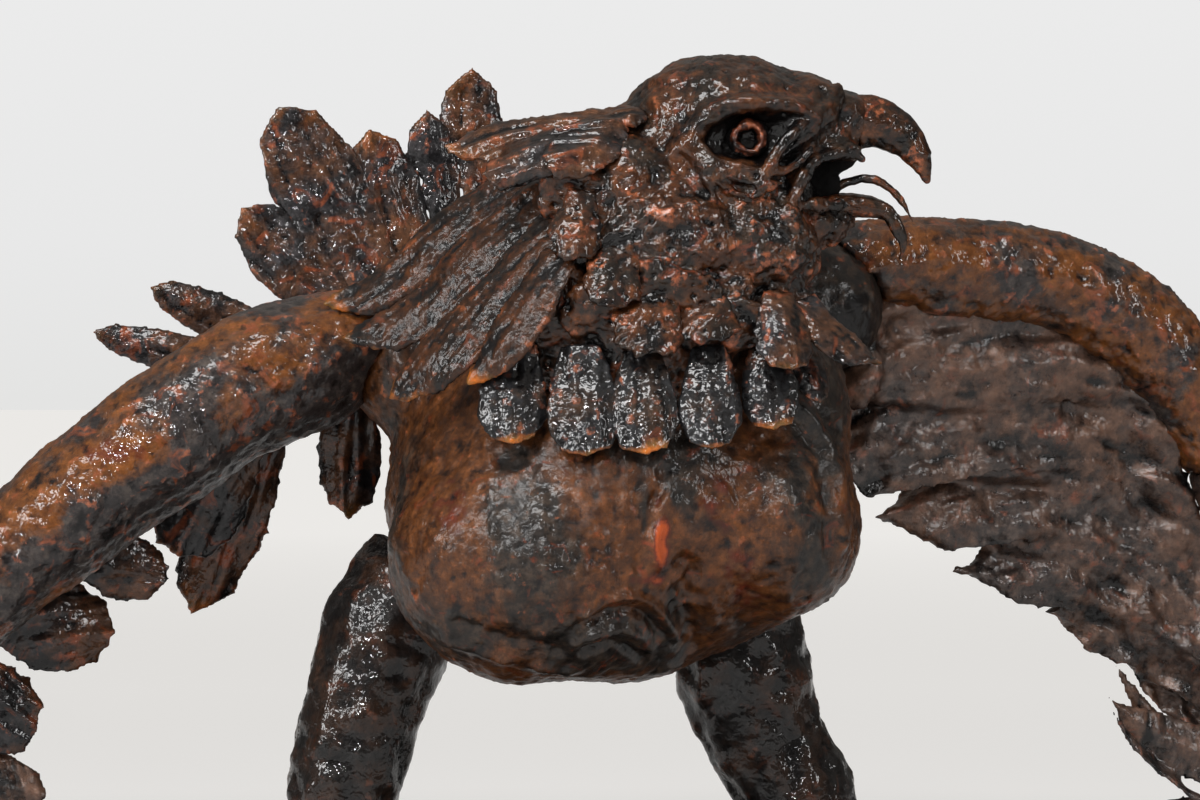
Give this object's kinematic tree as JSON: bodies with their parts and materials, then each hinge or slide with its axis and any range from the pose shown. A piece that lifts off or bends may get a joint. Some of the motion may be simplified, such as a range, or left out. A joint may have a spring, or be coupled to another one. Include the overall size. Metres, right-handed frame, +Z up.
{
  "type": "eagle statue",
  "caption": "Welded sheet-metal eagle with lowered wings, raised tail, open beak and collar of feather plates, standing on a low steel base.",
  "frame": {"origin": "centre of the base's underside", "axes": "+Z up; -Y is the side that the picture is taken from; +X points to the wing on the picture's right"},
  "size_m": [0.8941, 0.5103, 0.6229],
  "materials": {
    "copper_brown_shell": "hammered sheet, copper-brown patina under gloss lacquer",
    "dark_steel_plate": "cut and hammered steel plate, blackened, lacquered, heat-tinted at the tips",
    "weld_built_metal": "built up in weld, pitted and beaded, brown and black, lacquered",
    "bare_copper": "turned copper, rubbed bright",
    "base_steel": "mill-scale steel, oiled"
  },
  "bodies": {
    "root": {"arm_left": "copper_brown_shell", "arm_right": "copper_brown_shell", "base": "base_steel", "beak_lower": "weld_built_metal", "beak_upper": "weld_built_metal", "body_shell": "copper_brown_shell", "chin_plate_1": "dark_steel_plate", "chin_plate_2": "dark_steel_plate", "chin_plate_3": "dark_steel_plate", "collar_plate_1": "dark_steel_plate", "collar_plate_2": "dark_steel_plate", "collar_plate_3": "dark_steel_plate", "collar_plate_4": "dark_steel_plate", "collar_plate_5": "dark_steel_plate", "crest": "copper_brown_shell", "eye_left": "bare_copper", "eye_right": "bare_copper", "foot_left": "weld_built_metal", "foot_right": "weld_built_metal", "hackle_1": "dark_steel_plate", "hackle_2": "dark_steel_plate", "hackle_3": "dark_steel_plate", "hackle_4": "dark_steel_plate", "hand_left": "dark_steel_plate", "hand_right": "dark_steel_plate", "head": "weld_built_metal", "leg_left": "weld_built_metal", "leg_right": "weld_built_metal", "mantle": "dark_steel_plate", "nape_hackles": "dark_steel_plate", "neck_shell": "weld_built_metal", "tail_feather_1": "dark_steel_plate", "tail_feather_2": "dark_steel_plate", "tail_feather_3": "dark_steel_plate", "tail_feather_4": "dark_steel_plate", "tail_feather_5": "dark_steel_plate", "tail_feather_6": "dark_steel_plate", "tail_feather_7": "dark_steel_plate", "tail_feather_8": "dark_steel_plate", "tail_feather_9": "dark_steel_plate", "throat_plate_1": "dark_steel_plate", "throat_plate_2": "dark_steel_plate", "throat_plate_3": "dark_steel_plate", "throat_plate_4": "dark_steel_plate", "tongue": "weld_built_metal", "vane_left_1": "dark_steel_plate", "vane_left_2": "dark_steel_plate", "vane_left_3": "dark_steel_plate", "vane_left_4": "dark_steel_plate", "vane_left_5": "dark_steel_plate", "vane_left_6": "dark_steel_plate", "vane_right_1": "dark_steel_plate", "vane_right_2": "dark_steel_plate", "vane_right_3": "dark_steel_plate", "vane_right_4": "dark_steel_plate", "vane_right_5": "dark_steel_plate", "vane_right_6": "dark_steel_plate"}
  },
  "joints": []
}
